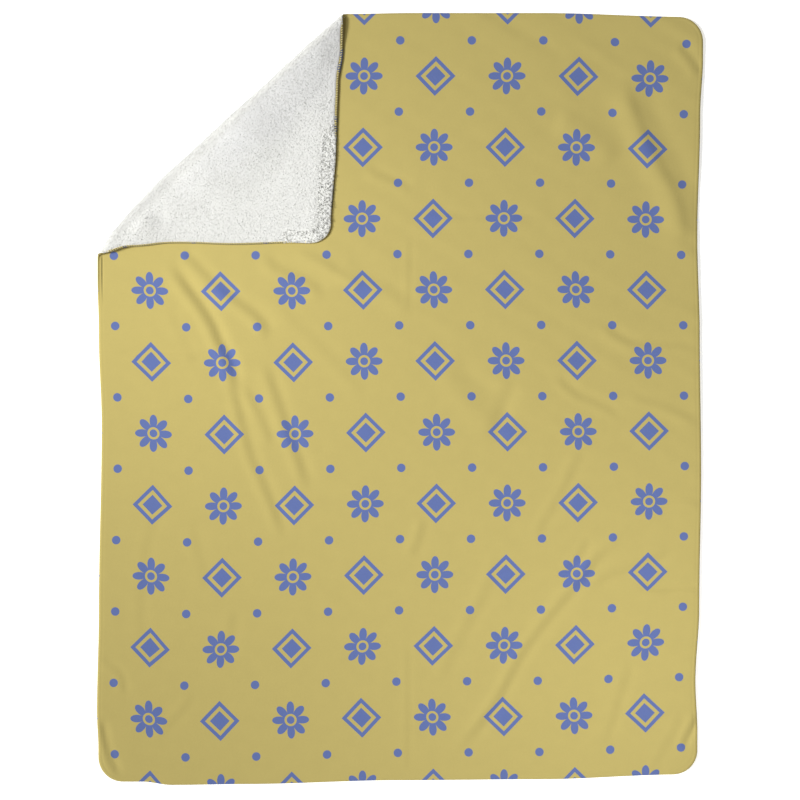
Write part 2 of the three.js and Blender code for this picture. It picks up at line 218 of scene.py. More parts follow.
# The turned corner's pile. Along the roll: where the pile starts and the length over which it rises, and
# where the lip comes out from under it and the length over which it opens.
PILE_INSET, PILE_FROM, PILE_ROLL = 1.0, -8.0, 10.0
LIP_FROM, LIP_OPENING = 18.0, 14.0
# Inwards from the lip: the lengths over which the pile rises and swells, its heights at the edge and above
# that in the middle, and how much of the second is lost by the turned tip.
PILE_RISE, PILE_SWELL = 2.0, 40.0
PILE_EDGE, PILE_CROWN, TIP_LOSS = 3.1, 1.95, 1.6
# Where it doesn't show, it is hidden in the back at this height, with a slope over this width.
HIDDEN_EDGE, HIDDEN_SLOPE, HIDDEN_WIDTH = 1.6, 0.1, 6.0
# Fine tufts between the coarse ones: their width and their share of the relief.
FINE_WIDTH, FINE_SHARE = 0.55, 0.35
# By the tip the pile is ruffled up to this far from the edge, and fades over the second length.
RUFFLE_WIDTH, RUFFLE_FADE = 36.0, 20.0
# Curls grow where the pile has risen by this share, this far from the edge, and this many radii above the
# floor.
CURL_RISE, CURL_INSET, CURL_LOWEST = 0.15, 2.4, 2.5
SMOOTH_BELOW, RUFFLED_ABOVE = 0.7, 0.2  # the two kinds of curls share the pile between these
# Rows of curls: the piece, whether it is for ruffled pile, the spacing, curl radius and yarn radius as shares
# of the settings, the lift in curl radii, the lean in radians and how deep it is sunk in yarn radii.
CURLS = (
    ("pile_curls_wide", False, 1.25, 1.2, 1.0, 0.2, 0.3, 0.75),
    ("pile_curls_tight", False, 1.0, 0.8, 1.0, 0.2, 0.3, 0.75),
    ("pile_curls_tip", True, 1.2, 1.25, 1.1, 0.9, 0.9, 0.0),
)
CURL_TRIES = 2.5  # points tried for each square of the spacing
# The range of a curl's size, its inner end's share of the radius, and its turns.
CURL_SCALE, CURL_INNER, CURL_TURNS = (0.7, 1.35), 0.55, 0.85

# Seams: the way in from the cut edge and the height above the seam plane, on the face and on the lip.
FACE_SEAM, LIP_SEAM = (8.0, 1.25), (3.2, -2.35)
SEAM_STEP = 4.0  # spacing of the points that a seam runs through
STITCH_SHARE = 0.84  # the share of its pitch that a topstitch fills
STITCH_TILT, STITCH_SEED = 0.15, 1

# The print, in shares of a motif's reach, and how far its ink bleeds.
PETALS, PETAL_NECK, PETAL_ROUND = 8, 0.4, 0.7
DAISY_RING, DAISY_HEART = 0.33, 0.21
DIAMOND_HOLLOW, DIAMOND_CORE = 0.74, 0.5
INK_BLEED = 0.4

# Tones of the plush: its nap's patches and tufts and their share of the tone, the lip's painted shade and the
# length over which it darkens, and the painted shade of the hem's two grooves: the place between them, their
# distance from it, the half widths of their floor and of their mouth, and how much darker they are.
NAP_PATCH, NAP_TUFT, NAP_TONE = 30.0, 4.0, 0.06
LIP_PAINTED_SHADE, LIP_SHADE = 0.45, 1.5
HEM_MIDDLE, GROOVE_OFF, GROOVE_FLOOR, GROOVE_MOUTH, GROOVE_SHADE = 6.6, 3.2, 0.8, 1.9, 0.55

# Tones of the pile: painted shade in the dips of its locks, and its patches, then ramps of painted shade from
# one place to another and from one share to another.
LOCK_WIDTH, LOCK_DIP_SHADE, PILE_PATCH, PATCH_TONE, LEAST_TONE = 5.0, 0.1, 45.0, 0.06, 0.92
ROLL_SHADE = (-14.0, 10.0, 1.0, 0.82)
SHADE_ALONG = (60.0, 440.0, 0.92, 1.03)
SHADE_ACROSS = (-40.0, -130.0, 1.0, 0.92)
# The dark flecks of painted shadow by the tip: their width, the noise at which they start and are full, and
# how much darker they are; then the slant of the edge that they follow, and the places from which and to
# which they come in.
FLECK_WIDTH, FLECK_NOISE, FLECK_SHADE = 4.5, (0.5, 0.62), 0.42
FLECK_SLANT, FLECKS_ACROSS, FLECKS_ALONG = -0.07, (-212.0, -180.0), (590.0, 500.0)

# The stage, in metres: the floor's half side and its place just under the blanket, the distances between
# which it glows from the first strength to the second, and the place along the blanket under the camera. The
# camera's sensor is in millimetres.
FLOOR_HALF, FLOOR_HEIGHT = 15.0, -0.0005
FLOOR_GLOW = (0.9, 3.5, 0.6, 0.8)
VIEW_MIDDLE, SENSOR_WIDTH = -0.0021, 36.0


def linear(hex_colour):
    """A hex sRGB colour as linear red, green and blue."""
    shares = [int(hex_colour[i : i + 2], 16) / 255 for i in (1, 3, 5)]
    return [s / 12.92 if s <= 0.04045 else ((s + 0.055) / 1.055) ** 2.4 for s in shares]


class ClothSettings(bpy.types.PropertyGroup):
    """The two panels."""

    ground: FloatVectorProperty(
        name="Ground",
        description="Colour of the plush face",
        subtype="COLOR",
        min=0,
        max=1,
        default=linear("#c9b86f"),
    )
    pile: FloatVectorProperty(
        name="Pile",
        description="Colour of the curly back",
        subtype="COLOR",
        min=0,
        max=1,
        default=linear("#fafaf5"),
    )
    face_step: FloatProperty(
        name="Face step",
        description="Spacing of the face's grid",
        unit="LENGTH",
        default=0.007,
        min=0.004,
        max=0.03,
    )
    back_step: FloatProperty(
        name="Back step",
        description="Spacing of the back's grid",
        unit="LENGTH",
        default=0.009,
        min=0.004,
        max=0.03,
    )


class PrintSettings(bpy.types.PropertyGroup):
    """The printed daisies, diamonds and dots."""

    ink: FloatVectorProperty(
        name="Ink",
        description="Colour of the print",
        subtype="COLOR",
        min=0,
        max=1,
        default=linear("#6879b2"),
    )
    pitch: FloatProperty(
        name="Pitch",
        description="Distance from motif to motif",
        unit="LENGTH",
        default=0.15,
        min=0.05,
        max=0.5,
    )
    petal: FloatProperty(
        name="Petal", description="Reach of a daisy's petals", unit="LENGTH", default=0.039, min=0.01, max=0.1
    )
    diamond: FloatProperty(
        name="Diamond",
        description="Reach of a diamond's corners",
        unit="LENGTH",
        default=0.042,
        min=0.01,
        max=0.1,
    )
    dot: FloatProperty(
        name="Dot",
        description="Radius of the dots between motifs",
        unit="LENGTH",
        default=0.009,
        min=0.001,
        max=0.05,
    )


class PileSettings(bpy.types.PropertyGroup):
    """The curly pile of the turned corner."""

    step: FloatProperty(
        name="Tuft step",
        description="Spacing of the tufted ground",
        unit="LENGTH",
        default=0.0019,
        min=0.001,
        max=0.01,
    )
    tuft: FloatProperty(
        name="Tuft",
        description="Width of one tuft of pile",
        unit="LENGTH",
        default=0.0065,
        min=0.002,
        max=0.02,
    )
    relief: FloatProperty(
        name="Relief", description="Height of the tufts", unit="LENGTH", default=0.0005, min=0, max=0.005
    )
    tip_relief: FloatProperty(
        name="Relief at the tip",
        description="How many times higher tufts stand by the turned tip",
        default=5,
        min=1,
        max=8,
    )
    curl_spacing: FloatProperty(
        name="Curl spacing",
        description="Least distance between curls",
        unit="LENGTH",
        default=0.004,
        min=0.002,
        max=0.02,
    )
    curl_radius: FloatProperty(
        name="Curl radius",
        description="Radius of a curl",
        unit="LENGTH",
        default=0.0018,
        min=0.0005,
        max=0.01,
    )
    yarn_radius: FloatProperty(
        name="Yarn radius",
        description="Radius of a curled lock",
        unit="LENGTH",
        default=0.00072,
        min=0.0001,
        max=0.003,
    )
    seed: IntProperty(name="Seed", description="Seed of the pile's scatter", default=7, min=0)


class StitchSettings(bpy.types.PropertyGroup):
    """The stitching round the edge."""

    pitch: FloatProperty(
        name="Stitch pitch",
        description="Length from stitch to stitch",
        unit="LENGTH",
        default=0.0034,
        min=0.001,
        max=0.02,
    )
    thread: FloatProperty(
        name="Thread radius",
        description="Radius of the thread",
        unit="LENGTH",
        default=0.0004,
        min=0.0001,
        max=0.002,
    )
    whip_pitch: FloatProperty(
        name="Whip pitch",
        description="Length from one whip stitch to the next",
        unit="LENGTH",
        default=0.005,
        min=0.001,
        max=0.02,
    )
    whip_length: FloatProperty(
        name="Whip length",
        description="Length of a whip stitch over the lip",
        unit="LENGTH",
        default=0.006,
        min=0.001,
        max=0.02,
    )
    whip_thread: FloatProperty(
        name="Whip thread",
        description="Radius of the whip stitches' yarn",
        unit="LENGTH",
        default=0.0012,
        min=0.0001,
        max=0.003,
    )
    whip_slant: FloatProperty(
        name="Whip slant",
        description="Angle between whip stitches and the edge",
        unit="ROTATION",
        default=1.2,
        min=0,
        max=1.6,
    )
    colour: FloatVectorProperty(
        name="Thread",
        description="Colour of the thread",
        subtype="COLOR",
        min=0,
        max=1,
        default=linear("#f2e4a4"),
    )


class StageSettings(bpy.types.PropertyGroup):
    """The floor, the lights and the camera."""

    floor: FloatVectorProperty(
        name="Floor",
        description="Colour of the floor",
        subtype="COLOR",
        min=0,
        max=1,
        default=linear("#f4f4f2"),
    )
    frame_width: FloatProperty(
        name="Frame width",
        description="Width of the floor in the picture",
        unit="LENGTH",
        default=1.68,
        min=0.5,
        max=5,
    )
    camera_height: FloatProperty(
        name="Camera height", description="Height of the camera", unit="LENGTH", default=6.0, min=1, max=20
    )
    window_power: FloatProperty(
        name="Window", description="Strength of the even light from the side", default=2.84, min=0
    )
    softbox_power: FloatProperty(
        name="Softbox",
        description="Power of the soft light at the upper left",
        unit="POWER",
        default=3.2,
        min=0,
    )
    reflector_power: FloatProperty(
        name="Reflector",
        description="Power of the soft light at the lower right",
        unit="POWER",
        default=2.2,
        min=0,
    )
    ambient: FloatProperty(name="Ambient", description="Brightness of the room", default=0.12, min=0, max=2)


class BlanketSettings(bpy.types.PropertyGroup):
    """All settings of the blanket."""

    cloth: PointerProperty(type=ClothSettings, name="Cloth", description="The two panels")
    printed: PointerProperty(type=PrintSettings, name="Print", description="The print on the face")
    pile: PointerProperty(type=PileSettings, name="Pile", description="The pile of the turned corner")
    stitch: PointerProperty(type=StitchSettings, name="Stitching", description="The stitching round the edge")
    stage: PointerProperty(type=StageSettings, name="Stage", description="Floor, lights and camera")


# The lie of the cloth


def ease(share):
    """A soft step from 0 to 1."""
    share = np.clip(share, 0.0, 1.0)
    return share * share * (3.0 - 2.0 * share)


def column(rows, place, index=1):
    """A column of a table at places between its rows, eased from row to row."""
    keys = rows[:, 0]
    after = np.clip(np.searchsorted(keys, place), 1, len(keys) - 1)
    share = ease((place - keys[after - 1]) / (keys[after] - keys[after - 1]))
    return rows[after - 1, index] * (1 - share) + rows[after, index] * share


def fold_place(x, y):
    """Where points of the cut stand: along the roll, its radius and edge, and the length past its start."""
    east, north = x - FOLD_START[0], y - FOLD_START[1]
    along = east * ALONG[0] + north * ALONG[1]
    radius = column(FOLD_ROLL, along, 2)
    edge = column(FOLD_ROLL, along, 1) + BACK_UNDER
    return along, radius, edge, east * OUTWARD[0] + north * OUTWARD[1] - edge + radius


def soft_line(points, steps):
    """A smooth line through a crease's points."""
    p = np.array([points[0], *points, points[-1]], float)
    t = np.linspace(0, 1, steps, endpoint=False)[:, None]
    line = [
        0.5 * (2 * b + (c - a) * t + (2 * a - 5 * b + 4 * c - d) * t**2 + (3 * b - a - 3 * c + d) * t**3)
        for a, b, c, d in zip(p, p[1:], p[2:], p[3:])
    ]
    return np.vstack([*line, p[-1:]])


def crease_height(x, y):
    """Height of the creases over the flat sheet."""
    height = np.zeros_like(x)
    for _, points, width, ridge, trough in CREASES:
        line = soft_line(points, CREASE_STEPS)
        low, high = line.min(0) - 4 * width, line.max(0) + 4 * width
        near = (x > low[0]) & (x < high[0]) & (y > low[1]) & (y < high[1])
        east, north = x[near], y[near]
        nearest = np.full(east.shape, np.inf)
        across = np.zeros_like(east)
        share = np.zeros_like(east)
        lengths = np.linalg.norm(np.diff(line, axis=0), axis=1)
        starts = np.concatenate([[0], np.cumsum(lengths)])
        for a, b, start, length in zip(line, line[1:], starts, lengths):
            way = (b - a) / length
            t = np.clip((east - a[0]) * way[0] + (north - a[1]) * way[1], 0, length)
            off_x, off_y = east - a[0] - t * way[0], north - a[1] - t * way[1]
            distance = np.hypot(off_x, off_y)
            closer = distance < nearest
            nearest = np.where(closer, distance, nearest)
            across = np.where(closer, np.copysign(distance, off_y * way[0] - off_x * way[1]), across)
            share = np.where(closer, (start + t) / starts[-1], share)
        taper = ease(share / CREASE_TAPER) * ease((1 - share) / CREASE_TAPER)
        u = across / width
        raised = ridge * np.exp(-((u + 1) ** 2)) - trough * np.exp(-((u - 1) ** 2))
        height[near] += CREASE_DEPTH * taper * raised
    return height


def uneven(x, y, seed):
    """Smooth unevenness from -1 to 1, with one swell or hollow for each unit of length."""
    heights = np.random.default_rng(seed).uniform(-1, 1, (LATTICE, LATTICE))
    i, j = np.floor(x).astype(int), np.floor(y).astype(int)
    u, v = ease(x - i), ease(y - j)
    west, east, south, north = i % LATTICE, (i + 1) % LATTICE, j % LATTICE, (j + 1) % LATTICE
    low = heights[west, south] * (1 - u) + heights[east, south] * u
    high = heights[west, north] * (1 - u) + heights[east, north] * u
    return low * (1 - v) + high * v


def ripple_height(x, y):
    """Height of the fine ripples, which lie in patches."""
    along = (x * RIPPLE_WAY[0] + y * RIPPLE_WAY[1]) / RIPPLE_LENGTH
    across = (y * RIPPLE_WAY[0] - x * RIPPLE_WAY[1]) / RIPPLE_WIDTH
    patches = 1 - PATCH_DEPTH + PATCH_DEPTH * uneven(x / RIPPLE_PATCH, y / RIPPLE_PATCH, PATCH_SEED)
    share = RIPPLE_SHARE + (1 - RIPPLE_SHARE) * ease((x + y) / RIPPLE_FADE)
    return RIPPLE_HEIGHT * share * patches * uneven(along, across, RIPPLE_SEED)


def lie(x, y):
    """The seam plane's place in the finished lie, for points of the flat cut."""
    along, radius, edge, turn = fold_place(x, y)
    fade = ease(-turn / FADE_LENGTH)
    across, up = x / WIDTH + 0.5, y / LENGTH + 0.5
    flat_x = x + fade * (across * column(RIGHT_SIDE, y) - (1 - across) * column(LEFT_SIDE, y))
    flat_y = y + fade * (up * column(TOP_SIDE, x) - (1 - up) * column(BOTTOM_SIDE, x))
    flat_z = SEAM_HEIGHT + fade * (crease_height(flat_x, flat_y) + ripple_height(x, y))
    angle = np.clip(turn / radius, 0, math.pi)
    reach = np.maximum(turn - math.pi * radius, 0)
    drop = (2 * radius - 2 * FACE_TOP - LAYER_GAP) * ease(reach / column(FOLD_ROLL, along, 4))
    dents = sum(h * np.exp(-((along - a) ** 2 + (reach - r) ** 2) / w**2) for a, r, w, h in FLAP_DENTS)
    dents -= EDGE_DROOP * ease(1 - depth_inside(x, y) / DROOP_LENGTH) * ease(reach / FADE_LENGTH)
    slid = along + reach * column(FOLD_ROLL, along, 3)
    out = edge - radius + radius * np.sin(angle) - reach
    turned_z = SEAM_HEIGHT + radius * (1 - np.cos(angle)) - drop + dents * ease(reach / DENT_FADE)
    turned = turn > 0
    return np.stack(
        [
            np.where(turned, FOLD_START[0] + slid * ALONG[0] + out * OUTWARD[0], flat_x),
            np.where(turned, FOLD_START[1] + slid * ALONG[1] + out * OUTWARD[1], flat_y),
            np.where(turned, turned_z, flat_z),
        ],
        axis=-1,
    )


def cloth_points(x, y, height):
    """Points raised off the seam plane along the cloth's own normal."""
    probe = 0.5
    across = lie(x + probe, y) - lie(x - probe, y)
    up = lie(x, y + probe) - lie(x, y - probe)
    normal = np.cross(across, up)
    normal /= np.linalg.norm(normal, axis=-1, keepdims=True)
    return lie(x, y) + normal * np.asarray(height)[..., None]


def depth_inside(x, y):
    """How far points lie inside the cut's outline."""
    dx = np.abs(x) - WIDTH / 2 + CORNER_RADIUS
    dy = np.abs(y) - LENGTH / 2 + CORNER_RADIUS
    return CORNER_RADIUS - np.hypot(np.maximum(dx, 0), np.maximum(dy, 0)) - np.minimum(np.maximum(dx, dy), 0)


def cut_grid(inset, step):
    """Rows of points over the cut, drawn in by an inset, with the corner cells drawn round."""
    half = np.array((WIDTH / 2, LENGTH / 2)) - inset
    counts = np.ceil(2 * half / step).astype(int) + 1
    x, y = np.meshgrid(np.linspace(-half[0], half[0], counts[0]), np.linspace(-half[1], half[1], counts[1]))
    core = half + inset - CORNER_RADIUS
    over_x, over_y = np.maximum(np.abs(x) - core[0], 0), np.maximum(np.abs(y) - core[1], 0)
    shrink = np.maximum(over_x, over_y) / np.maximum(np.hypot(over_x, over_y), 1e-9)
    corner = (over_x > 0) & (over_y > 0)
    x = np.where(corner, np.sign(x) * (core[0] + over_x * shrink), x)
    y = np.where(corner, np.sign(y) * (core[1] + over_y * shrink), y)
    return x, y


def grid_loop(shape):
    """Numbers of a grid's outermost points, anticlockwise."""
    index = np.arange(shape[0] * shape[1]).reshape(shape)
    return np.concatenate([index[0, :-1], index[:-1, -1], index[-1, :0:-1], index[:0:-1, 0]])


def grid_quads(shape):
    """Faces of a grid, seen from above anticlockwise."""
    index = np.arange(shape[0] * shape[1]).reshape(shape)
    return np.stack([index[:-1, :-1], index[:-1, 1:], index[1:, 1:], index[1:, :-1]], -1).reshape(-1, 4)


def rim_row(x, y, inset):
    """Points of the grid's outermost loop, moved out to an inset from the cut edge."""
    core_x = np.clip(x, CORNER_RADIUS - WIDTH / 2, WIDTH / 2 - CORNER_RADIUS)
    core_y = np.clip(y, CORNER_RADIUS - LENGTH / 2, LENGTH / 2 - CORNER_RADIUS)
    length = np.hypot(x - core_x, y - core_y)
    reach = CORNER_RADIUS - inset
    return core_x + (x - core_x) / length * reach, core_y + (y - core_y) / length * reach


def tufts(x, y, pitch, seed):
    """Rounded tufts on an uneven lattice: 1 on top of a tuft, 0 in the dips between."""
    jitter = np.random.default_rng(seed).random((LATTICE, LATTICE, 2))
    u, v = x / pitch, y / pitch
    i, j = np.floor(u).astype(int), np.floor(v).astype(int)
    nearest = np.full(x.shape, np.inf)
    for di in (-1, 0, 1):
        for dj in (-1, 0, 1):
            middle = jitter[(i + di) % LATTICE, (j + dj) % LATTICE]
            away = np.hypot(i + di + middle[..., 0] - u, j + dj + middle[..., 1] - v)
            nearest = np.minimum(nearest, away)
    return np.sqrt(np.clip(1 - (nearest / TUFT_REACH) ** 2, 0, 1))


def mesh_piece(name, points, faces, flat, material):
    """A finished mesh on the body, from points in millimetres, with its flat cloth as a UV map."""
    mesh = bpy.data.meshes.new(name)
    mesh.from_pydata((points * MM).tolist(), [], faces.tolist())
    corners = np.empty(len(mesh.loops), np.int32)
    mesh.loops.foreach_get("vertex_index", corners)
    uv = mesh.uv_layers.new(name="flat")
    uv.data.foreach_set("uv", (flat / FLAT_SPAN + 0.5)[corners].astype(np.float32).ravel())
    mesh.polygons.foreach_set("use_smooth", np.ones(len(mesh.polygons), bool))
    mesh.materials.append(material)
    mesh.validate()
    piece = bpy.data.objects.new(name, mesh)
    bpy.context.collection.objects.link(piece)
    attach(piece, BODY)
    return piece


def hem_pull(x, y):
    """How tight the hem is pulled, from 0 to 1: on the left side below the fold only."""
    return ease((y - TIGHT_FROM) / (TIGHT_FULL - TIGHT_FROM)) * (x < 0) * (y < LENGTH / 2 - CORNER_RADIUS)


def turned_over(x, y):
    """1 on the turned corner and 0 off it, with a soft step on the roll."""
    return ease(fold_place(x, y)[3] / TURN_STEP)


def panel_mesh(top, under, rim, drawn, step):
    """Points, faces and flat places of a closed panel: two layers on one grid, joined by the rim's rows."""
    x, y = cut_grid(GRID_INSET, step)
    loop = grid_loop(x.shape)
    quads = grid_quads(x.shape)
    edge_x, edge_y = x.ravel()[loop], y.ravel()[loop]
    layers = [top(x, y).reshape(-1, 3)]
    flats = [np.stack([x.ravel(), y.ravel()], -1)]
    bands = [loop]
    first = x.size
    share = drawn(edge_x, edge_y)
    for inset, height, cut, pull in rim:
        row_x, row_y = rim_row(edge_x, edge_y, inset)
        layers.append(cloth_points(row_x, row_y, height - pull * share))
        flats.append(np.stack(rim_row(edge_x, edge_y, cut), -1))
        bands.append(first + np.arange(len(loop)))
        first += len(loop)
    layers.append(under(x, y).reshape(-1, 3))
    flats.append(flats[0])
    bands.append(first + loop)
    faces = [quads, first + quads[:, ::-1]]
    for a, b in zip(bands, bands[1:]):
        faces.append(np.stack([a, b, np.roll(b, -1), np.roll(a, -1)], -1))
    points = np.vstack(layers)
    points[:, 2] = np.maximum(points[:, 2], 0)
    return points, np.vstack(faces), np.vstack(flats)


# Materials


def add_node(tree, kind, inputs=(), **settings):
    """Adds a node with its settings, and fills its inputs, by name or number, with values or links."""
    made = tree.nodes.new(kind)
    for key, value in settings.items():
        setattr(made, key, value)
    for key, value in dict(inputs).items():
        if isinstance(value, bpy.types.NodeSocket):
            tree.links.new(value, made.inputs[key])
        else:
            made.inputs[key].default_value = value
    return made


def new_material(name):
    """An empty node material and its tree."""
    material = bpy.data.materials.new(name)
    material.use_nodes = True
    material.node_tree.nodes.clear()
    return material, material.node_tree


def printed_plush(settings):
    """Polyester plush, brushed and sheared, with a sublimation print: a soft matt face, a faint nap that
    catches the light at a grazing angle, and print edges that bleed by less than a millimetre."""
    material, tree = new_material("printed polyester plush")
    size = settings.printed
    span = FLAT_SPAN * MM
    uv = add_node(tree, "ShaderNodeUVMap", uv_map="flat").outputs["UV"]
    flat = add_node(
        tree,
        "ShaderNodeVectorMath",
        {0: uv, 1: (span, span, 0), 2: (-span / 2, -span / 2, 0)},
        operation="MULTIPLY_ADD",
    ).outputs[0]
    # The print: square cells, with daisies and diamonds by turns, and a dot at each cell's corners.
    grid = add_node(tree, "ShaderNodeVectorMath", {0: flat, 3: 1 / size.pitch}, operation="SCALE").outputs[0]
    cell = add_node(tree, "ShaderNodeVectorMath", {0: grid}, operation="FLOOR").outputs[0]
    parity = add_node(
        tree, "ShaderNodeVectorMath", {0: cell, 1: (0.5, 0.5, 0)}, operation="DOT_PRODUCT"
    ).outputs["Value"]
    parity = add_node(tree, "ShaderNodeMath", {0: parity}, operation="FRACT").outputs[0]
    is_daisy = add_node(tree, "ShaderNodeMath", {0: parity, 1: 0.25}, operation="GREATER_THAN").outputs[0]
    middle = add_node(tree, "ShaderNodeVectorMath", {0: cell, 1: (0.5, 0.5, 0)}, operation="ADD").outputs[0]
    local = add_node(tree, "ShaderNodeVectorMath", {0: grid, 1: middle}, operation="SUBTRACT").outputs[0]
    local = add_node(tree, "ShaderNodeVectorMath", {0: local, 3: size.pitch}, operation="SCALE").outputs[0]
    away = add_node(tree, "ShaderNodeVectorMath", {0: local}, operation="LENGTH").outputs["Value"]
    axes = add_node(tree, "ShaderNodeSeparateXYZ", {0: local}).outputs
    angle = add_node(tree, "ShaderNodeMath", {0: axes["Y"], 1: axes["X"]}, operation="ARCTAN2").outputs[0]
    wave = add_node(tree, "ShaderNodeMath", {0: angle, 1: PETALS / 2}, operation="MULTIPLY").outputs[0]
    wave = add_node(tree, "ShaderNodeMath", {0: wave}, operation="COSINE").outputs[0]
    wave = add_node(tree, "ShaderNodeMath", {0: wave}, operation="ABSOLUTE").outputs[0]
    wave = add_node(tree, "ShaderNodeMath", {0: wave, 1: PETAL_ROUND}, operation="POWER").outputs[0]
    petal = add_node(
        tree,
        "ShaderNodeMath",
        {0: wave, 1: (1 - PETAL_NECK) * size.petal, 2: PETAL_NECK * size.petal},
        operation="MULTIPLY_ADD",
    ).outputs[0]
    in_petal = add_node(tree, "ShaderNodeMath", {0: petal, 1: away}, operation="SUBTRACT").outputs[0]
    past_ring = add_node(
        tree, "ShaderNodeMath", {0: away, 1: DAISY_RING * size.petal}, operation="SUBTRACT"
    ).outputs[0]
    petals = add_node(tree, "ShaderNodeMath", {0: in_petal, 1: past_ring}, operation="MINIMUM").outputs[0]
    heart = add_node(
        tree, "ShaderNodeMath", {0: DAISY_HEART * size.petal, 1: away}, operation="SUBTRACT"
    ).outputs[0]
    daisy = add_node(tree, "ShaderNodeMath", {0: petals, 1: heart}, operation="MAXIMUM").outputs[0]
    folded = add_node(tree, "ShaderNodeVectorMath", {0: local}, operation="ABSOLUTE").outputs[0]
    slant = add_node(
        tree, "ShaderNodeVectorMath", {0: folded, 1: (1, 1, 0)}, operation="DOT_PRODUCT"
    ).outputs["Value"]
    outer = add_node(tree, "ShaderNodeMath", {0: size.diamond, 1: slant}, operation="SUBTRACT").outputs[0]
    hollow = add_node(
        tree, "ShaderNodeMath", {0: slant, 1: DIAMOND_HOLLOW * size.diamond}, operation="SUBTRACT"
    ).outputs[0]
    frame_band = add_node(tree, "ShaderNodeMath", {0: outer, 1: hollow}, operation="MINIMUM").outputs[0]
    core = add_node(
        tree, "ShaderNodeMath", {0: DIAMOND_CORE * size.diamond, 1: slant}, operation="SUBTRACT"
    ).outputs[0]
    diamond = add_node(tree, "ShaderNodeMath", {0: frame_band, 1: core}, operation="MAXIMUM").outputs[0]
    motif = add_node(tree, "ShaderNodeMix", {0: is_daisy, 2: diamond, 3: daisy}, data_type="FLOAT").outputs[0]
    corner = add_node(tree, "ShaderNodeVectorMath", {0: grid, 1: (0.5, 0.5, 0)}, operation="ADD").outputs[0]
    corner = add_node(tree, "ShaderNodeVectorMath", {0: corner}, operation="FLOOR").outputs[0]
    corner = add_node(
        tree, "ShaderNodeVectorMath", {0: grid, 1: corner}, operation="DISTANCE"
    ).outputs["Value"]
    dot = add_node(
        tree, "ShaderNodeMath", {0: corner, 1: -size.pitch, 2: size.dot}, operation="MULTIPLY_ADD"
    ).outputs[0]
    motif = add_node(tree, "ShaderNodeMath", {0: motif, 1: dot}, operation="MAXIMUM").outputs[0]
    bleed = INK_BLEED * MM
    inked = add_node(
        tree, "ShaderNodeMapRange", {0: motif, 1: -bleed, 2: bleed}, interpolation_type="SMOOTHSTEP"
    ).outputs[0]
    # The nap lies this way and that in patches of about 30 mm and in tufts of about 4 mm. The pile itself,
    # 0.2 mm fibres, is too fine to show, so the tufts stand for it.
    patches = add_node(
        tree, "ShaderNodeTexNoise", {"Vector": flat, "Scale": 1 / (NAP_PATCH * MM), "Detail": 2}
    ).outputs["Fac"]
    nap = add_node(
        tree, "ShaderNodeTexNoise", {"Vector": flat, "Scale": 1 / (NAP_TUFT * MM), "Detail": 3}
    ).outputs["Fac"]
    tone = add_node(
        tree, "ShaderNodeMath", {0: patches, 1: NAP_TONE, 2: 1 - NAP_TONE}, operation="MULTIPLY_ADD"
    ).outputs[0]
    tone = add_node(
        tree, "ShaderNodeMath", {0: nap, 1: NAP_TONE, 2: tone}, operation="MULTIPLY_ADD"
    ).outputs[0]
    # The lip, which lies past the cut edge in the flat cloth, gets painted shade: it is darker, as if shaded
    # between its stitches.
    past = add_node(tree, "ShaderNodeVectorMath", {0: flat}, operation="ABSOLUTE").outputs[0]
    past = add_node(
        tree, "ShaderNodeVectorMath", {0: past, 1: (WIDTH / 2 * MM, LENGTH / 2 * MM, 0)}, operation="SUBTRACT"
    ).outputs[0]
    past = add_node(tree, "ShaderNodeSeparateXYZ", {0: past}).outputs
    past = add_node(tree, "ShaderNodeMath", {0: past["X"], 1: past["Y"]}, operation="MAXIMUM").outputs[0]
    lip_shade = add_node(
        tree, "ShaderNodeMapRange", {0: past, 1: 0, 2: LIP_SHADE * MM, 3: 1, 4: LIP_PAINTED_SHADE}
    ).outputs[0]
    tone = add_node(tree, "ShaderNodeMath", {0: tone, 1: lip_shade}, operation="MULTIPLY").outputs[0]
    # Where the hem is pulled tight, its two grooves get painted shade and look darker.
    axes = add_node(tree, "ShaderNodeSeparateXYZ", {0: flat}).outputs
    groove = add_node(
        tree, "ShaderNodeMath", {0: axes["X"], 1: (WIDTH / 2 - HEM_MIDDLE) * MM}, operation="ADD"
    ).outputs[0]
    groove = add_node(tree, "ShaderNodeMath", {0: groove}, operation="ABSOLUTE").outputs[0]
    groove = add_node(
        tree, "ShaderNodeMath", {0: groove, 1: GROOVE_OFF * MM}, operation="SUBTRACT"
    ).outputs[0]
    groove = add_node(tree, "ShaderNodeMath", {0: groove}, operation="ABSOLUTE").outputs[0]
    groove = add_node(
        tree,
        "ShaderNodeMapRange",
        {0: groove, 1: GROOVE_FLOOR * MM, 2: GROOVE_MOUTH * MM, 3: GROOVE_SHADE, 4: 0},
    ).outputs[0]
    tight = add_node(
        tree, "ShaderNodeMapRange", {0: axes["Y"], 1: TIGHT_FROM * MM, 2: TIGHT_FULL * MM}
    ).outputs[0]
    groove = add_node(tree, "ShaderNodeMath", {0: groove, 1: tight}, operation="MULTIPLY").outputs[0]
    groove = add_node(tree, "ShaderNodeMath", {0: 1.0, 1: groove}, operation="SUBTRACT").outputs[0]
    tone = add_node(tree, "ShaderNodeMath", {0: tone, 1: groove}, operation="MULTIPLY").outputs[0]
    colour = add_node(
        tree,
        "ShaderNodeMix",
        {0: inked, 6: (*settings.cloth.ground, 1), 7: (*size.ink, 1)},
        data_type="RGBA",
    ).outputs[2]
    colour = add_node(tree, "ShaderNodeVectorMath", {0: colour, 3: tone}, operation="SCALE").outputs[0]
    bump = add_node(
        tree, "ShaderNodeBump", {"Height": nap, "Strength": 0.25, "Distance": 0.6 * MM}
    ).outputs[0]
    shader = add_node(
        tree,
        "ShaderNodeBsdfPrincipled",
        {
            "Base Color": colour,
            "Roughness": 0.92,
            "Specular IOR Level": 0.2,
            "Sheen Weight": 0.12,
            "Sheen Roughness": 0.45,
            "Normal": bump,
        },
    ).outputs[0]
    add_node(tree, "ShaderNodeOutputMaterial", {"Surface": shader})
    return material


